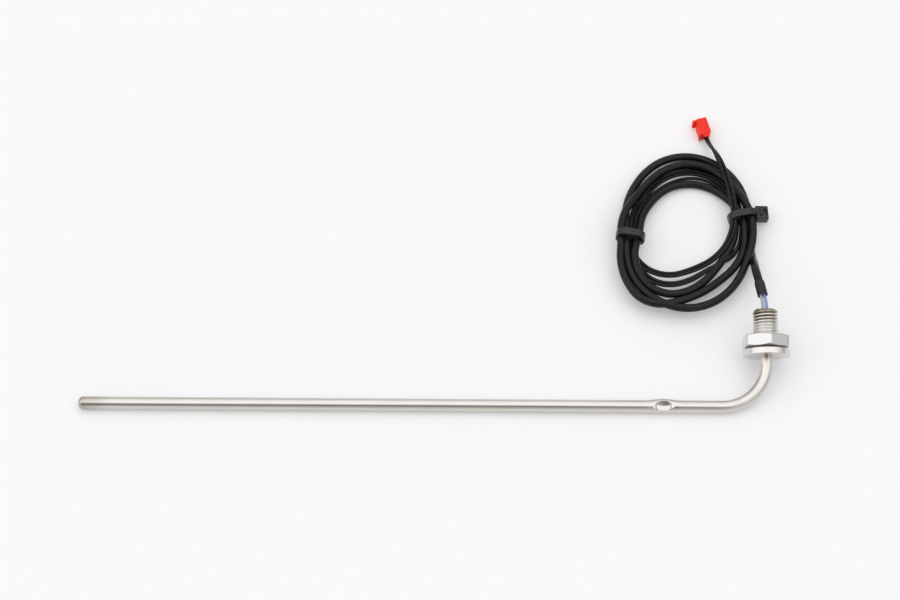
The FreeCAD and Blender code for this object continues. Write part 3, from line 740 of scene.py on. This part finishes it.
def part_strands(strands):
    """Push apart strands that lie in each other, at their points and half way between them."""
    samples = [np.concatenate([strand.points, (strand.points[1:] + strand.points[:-1]) / 2])
               for strand in strands]
    counts = [len(strand.points) for strand in strands]
    places = np.concatenate(samples)
    owners = np.concatenate([[number] * len(sample) for number, sample in enumerate(samples)])
    spots = np.concatenate([np.concatenate([np.arange(count), np.arange(count - 1) + 0.5])
                            for count in counts])
    radii = np.array([strand.radius for strand in strands])[owners]
    gaps = places[:, None] - places[None]
    distances = np.linalg.norm(gaps, axis=2) + TINY
    overlap = radii[:, None] + radii[None] - distances
    near = (owners[:, None] == owners[None]) & (np.abs(spots[:, None] - spots[None]) < NEIGHBOURS)
    overlap[near | (overlap < 0)] = 0
    push = (gaps / distances[..., None] * overlap[..., None]).sum(1) * PUSH_SHARE
    for number, strand in enumerate(strands):
        mine = push[owners == number]
        count = counts[number]
        moves = mine[:count].copy()
        moves[:-1] += mine[count:] / 2
        moves[1:] += mine[count:] / 2
        length = np.linalg.norm(moves, axis=1, keepdims=True)
        moves *= np.minimum(1.0, PUSH_MOST / np.maximum(length, TINY))
        strand.points[~strand.held] += moves[~strand.held]


def coil_lift(points):
    """Height of the lowest strands, which rise towards the tie whose head lies under the bundle."""
    angles = np.arctan2(points[:, 1] - COIL_CENTRE[1], points[:, 0] - COIL_CENTRE[0])
    return COIL_LIFT * (0.5 + 0.5 * np.cos(angles - COIL_LIFT_AT)) ** COIL_LIFT_POWER


def settle(strands):
    """Let the turns sink onto the table and onto each other, near where the coil was laid."""
    for settling in range(SETTLE_ROUNDS):
        for strand in strands:
            free = ~strand.held
            strand.points[free, 2] -= SINK
            strand.points[free, :2] += DRAW_BACK * (strand.target - strand.points)[free, :2]
            bent = strand.points - strand.target
            even = bent.copy()
            even[1:-1] = (bent[:-2] + bent[2:]) / 2
            strand.points[free] += EVEN_OUT * (even - bent)[free]
        part_strands(strands)
        for strand in strands:
            heights = strand.points[:, 2]
            lowest = strand.radius + coil_lift(strand.points)
            strand.points[:, 2] = np.where(strand.held, heights, np.maximum(heights, lowest))
            hold_in_tie(strand, TIE_RIGHT, RIGHT_TIE_STATION)
            hold_in_tie(strand, TIE_LEFT, LEFT_TIE_STATION)


def cord_curve(name, points, diameter):
    """Round cord along a smooth line with the route's points."""
    curve = bpy.data.curves.new(name, "CURVE")
    curve.dimensions = "3D"
    curve.bevel_depth = 1.0
    curve.bevel_resolution = CORD_BEVEL_RESOLUTION
    curve.resolution_u = CORD_RESOLUTION
    curve.use_fill_caps = True
    spline = curve.splines.new("NURBS")
    spline.points.add(len(points) - 1)
    for control, point in zip(spline.points, points):
        control.co = (*place(*point), 1)
        control.radius = diameter / 2 * MM
    spline.order_u = 3
    spline.use_endpoint_u = True
    return link_object(name, curve)


def line_length(piece):
    """Length of a cord's own line in metres."""
    line = bpy.data.objects.new("line", piece.data.copy())
    line.data.bevel_depth = 0
    mesh = bpy.data.meshes.new_from_object(line)
    bpy.data.objects.remove(line)
    edges = [edge.vertices for edge in mesh.edges]
    return sum((mesh.vertices[start].co - mesh.vertices[end].co).length for start, end in edges)


def make_lead():
    """Sleeved lead from the boot through its turns, then two black wires through theirs to the connector."""
    turns, ties = coil_turns(SLEEVE_TURNS, SLEEVE_END, SLEEVE_RISE)
    strands = [Strand(SLEEVE_START, turns, ties, [], SLEEVE_OD / 2)]
    for wire_turns, last_share, lead_out in ((WIRE_A_TURNS, WIRE_A_END, LEAD_A_END),
                                             (WIRE_B_TURNS, WIRE_B_END, LEAD_B_END)):
        turns, ties = coil_turns(wire_turns, last_share, WIRE_RISE)
        strands.append(Strand([], turns, ties, lead_out, WIRE_OD / 2))
    settle(strands)
    sleeve = cord_curve("sleeved_lead", strands[0].points, SLEEVE_OD)
    wires = [cord_curve("black_wire_" + letter, strand.points, WIRE_OD)
             for letter, strand in zip("ab", strands[1:])]
    sleeve_material = mottled("black_sleeve", dark=(0.002, 0.002, 0.0023, 1), light=(0.005, 0.005, 0.0055, 1),
                              roughness=(0.28, 0.42), scale=300.0, bump=0.2, specular=0.3)
    wire_material = mottled("black_wire", dark=(0.002, 0.002, 0.0023, 1), light=(0.004, 0.004, 0.0045, 1),
                            roughness=(0.26, 0.38), scale=400.0, bump=0.15, specular=0.3)
    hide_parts("sleeve_run", "cable_coil")
    dress(sleeve, sleeve_material)
    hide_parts("lead_wire_a")
    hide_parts("lead_wire_b")
    for piece in [sleeve] + wires:
        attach(piece, "sensor")
    for piece in wires:
        dress(piece, wire_material)
    return sleeve, wires


# Moulded and small pieces


def softened(name, edge):
    """Copy of a CAD piece with its sharp edges rounded, which stands for it."""
    source = nodes[name].data
    mesh = bpy.data.meshes.new(name + "_moulded")
    points = [vertex.co for vertex in source.vertices]
    mesh.from_pydata(points, [], [tuple(face.vertices) for face in source.polygons])
    shape = bmesh.new()
    shape.from_mesh(mesh)
    bmesh.ops.remove_doubles(shape, verts=shape.verts, dist=SAME_POINT * MM)
    bmesh.ops.dissolve_limit(shape, angle_limit=FLAT_ANGLE, verts=shape.verts, edges=shape.edges)
    shape.to_mesh(mesh)
    shape.free()
    mesh.shade_smooth()
    made = link_object(name + "_moulded", mesh)
    bevel = made.modifiers.new("rounded_edges", "BEVEL")
    bevel.width = edge * MM
    bevel.segments = EDGE_SEGMENTS
    bevel.limit_method = "ANGLE"
    bevel.angle_limit = SHARP_ANGLE
    bevel.harden_normals = True
    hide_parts(name)
    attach(made, "sensor")
    return made


def make_ties():
    """Two black cable ties, with a soft shine on the nylon."""
    material = mottled("tie_nylon", dark=(0.015, 0.015, 0.0155, 1), light=(0.024, 0.024, 0.025, 1),
                       roughness=(0.24, 0.36), scale=500.0, bump=0.15, specular=0.42)
    ties = [softened(name, TIE_EDGE) for name in ("cable_tie_left", "cable_tie_right")]
    for tie in ties:
        dress(tie, material)
    return ties


def make_connector():
    """Red connector, moulded in one piece."""
    material = mottled("red_nylon", dark=(0.86, 0.034, 0.020, 1), light=(0.94, 0.046, 0.029, 1),
                       roughness=(0.32, 0.44), scale=400.0, bump=0.1, specular=0.12)
    connector = softened("connector_housing", CONNECTOR_EDGE)
    dress(connector, material)
    return connector


def insulation(name, dark, light):
    """Soft coloured insulation of an inner wire."""
    return mottled(name, dark, light, roughness=(0.3, 0.42), scale=400.0, bump=0.1, specular=0.4)


def dress_small_parts():
    """Materials of the pieces whose CAD shape is right as it is."""
    blue = insulation("blue_insulation", dark=(0.24, 0.31, 0.57, 1), light=(0.29, 0.36, 0.63, 1))
    grey = insulation("grey_insulation", dark=(0.32, 0.40, 0.47, 1), light=(0.38, 0.45, 0.52, 1))
    boot = mottled("shrink_tube", dark=(0.012, 0.012, 0.0135, 1), light=(0.020, 0.020, 0.022, 1),
                   roughness=(0.4, 0.55), scale=300.0, bump=0.3, specular=0.35)
    filler = mottled("filler_compound", dark=(0.6, 0.58, 0.5, 1), light=(0.68, 0.65, 0.56, 1),
                     roughness=(0.5, 0.6), scale=300.0, bump=0.2, specular=0.4)
    ceramic = mottled("ceramic_body", dark=(0.72, 0.70, 0.66, 1), light=(0.80, 0.78, 0.74, 1),
                      roughness=(0.4, 0.5), scale=300.0, bump=0.1)
    brass = mottled("tinned_brass", dark=(0.62, 0.6, 0.55, 1), light=(0.7, 0.68, 0.62, 1),
                    roughness=(0.25, 0.4), scale=300.0, bump=0.1, metallic=1.0)
    dress(nodes["inner_wire_blue"], blue)
    dress(nodes["inner_wire_grey"], grey)
    dress(nodes["splice_boot"], boot)
    dress(nodes["sensing_element"], ceramic)
    for name in ("tip_filler", "exit_seal"):
        dress(nodes[name], filler)
    for name in ("splice_crimp_a", "splice_crimp_b", "terminal_a", "terminal_b"):
        dress(nodes[name], brass)


def declare_cords(sleeve, wires):
    """Work out the length of each cord's own line, which is not kept."""
    line_length(sleeve)
    for wire, terminal in zip(wires, ("terminal_a", "terminal_b")):
        line_length(wire)


# Stage


def make_floor():
    """Plain pale table, whose shadows are softened by a light of its own that only the eye and gloss see."""
    mesh = bpy.data.meshes.new("table")
    half = FLOOR_HALF
    corners = [(-half, -half, 0), (half, -half, 0), (half, half, 0), (-half, half, 0)]
    mesh.from_pydata(corners, [], [(0, 1, 2, 3)])
    floor = link_object("table", mesh)
    constants = {"Base Color": FLOOR_COLOUR, "Roughness": FLOOR_ROUGHNESS,
                 "Specular IOR Level": FLOOR_SPECULAR}
    material, tree, shader = new_material("table_top", constants)
    path = add_node(tree, "ShaderNodeLightPath")
    seen = path.outputs["Is Camera Ray"]
    for ray in ("Is Glossy Ray", "Is Transmission Ray"):
        seen = calculated(tree, "MAXIMUM", seen, path.outputs[ray])
    share = calculated(tree, "MULTIPLY", seen, FLOOR_GLOW)
    glow = add_node(tree, "ShaderNodeEmission", {"Color": FLOOR_GLOW_COLOUR, "Strength": 1.0})
    shaders = {0: share, 1: shader.outputs["BSDF"], 2: glow.outputs["Emission"]}
    mix = add_node(tree, "ShaderNodeMixShader", shaders)
    tree.links.new(mix.outputs["Shader"], tree.nodes["Material Output"].inputs["Surface"])
    floor.data.materials.append(material)


def level_ramp(tree, position, levels, low, high):
    """Grey level that follows a list of places and levels."""
    share = add_node(tree, "ShaderNodeMapRange", {"Value": position, "From Min": low, "From Max": high})
    ramp = add_node(tree, "ShaderNodeValToRGB", {"Fac": share.outputs["Result"]})
    stops = ramp.color_ramp.elements
    while len(stops) < len(levels):
        stops.new(0.5)
    for stop, (at, level) in zip(stops, levels):
        stop.position = (at - low) / (high - low)
        stop.color = (level, level, level, 1)
    return ramp.outputs["Color"]


def make_world():
    """Soft light from above, with a dim patch in front, lower than the camera, that shows in the steel."""
    world = bpy.data.worlds.new("studio")
    bpy.context.scene.world = world
    world.use_nodes = True
    tree = world.node_tree
    direction = add_node(tree, "ShaderNodeTexCoord").outputs["Generated"]
    parts = add_node(tree, "ShaderNodeSeparateXYZ", {"Vector": direction})
    sideways = parts.outputs["X"]
    front = calculated(tree, "MULTIPLY", parts.outputs["Y"], -1.0)
    degrees = calculated(tree, "DEGREES", calculated(tree, "ARCTAN2", parts.outputs["Z"], front))
    slant = add_node(tree, "ShaderNodeMapRange", {"Value": sideways, "From Min": SKY_SLANT_FROM,
                                                  "From Max": 0.0, "To Min": 0.0, "To Max": SKY_SLANT})
    height = calculated(tree, "SUBTRACT", degrees, slant.outputs["Result"])
    middle = level_ramp(tree, height, SKY_MIDDLE, 0, 180)
    beside = level_ramp(tree, degrees, SKY_BESIDE, 0, 180)
    level = mixed(tree, level_ramp(tree, sideways, SKY_SHARES, -1, 1), middle, beside)
    strength = calculated(tree, "MULTIPLY", level, level_ramp(tree, sideways, SKY_STRENGTHS, -1, 1))
    background = tree.nodes["Background"]
    background.inputs["Color"].default_value = (1, 1, 1, 1)
    tree.links.new(strength, background.inputs["Strength"])


def make_camera():
    """Camera that looks down on the table from the front."""
    level = math.cos(CAMERA_ELEVATION)
    view = Vector((math.sin(CAMERA_YAW) * level, math.cos(CAMERA_YAW) * level, -math.sin(CAMERA_ELEVATION)))
    data = bpy.data.cameras.new("camera")
    data.lens = CAMERA_LENS
    data.sensor_width = CAMERA_SENSOR
    data.sensor_fit = "HORIZONTAL"
    camera = link_object("camera", data)
    camera.location = place(*LOOK_POINT) - view * CAMERA_DISTANCE * MM
    camera.rotation_euler = view.to_track_quat("-Z", "Y").to_euler()
    bpy.context.scene.camera = camera


make_tube()
make_fitting()
make_nut()
sleeve, wires = make_lead()
ties = make_ties()
connector = make_connector()
dress_small_parts()
declare_cords(sleeve, wires)
make_floor()
make_world()
make_camera()
bpy.context.scene.view_settings.view_transform = "Standard"
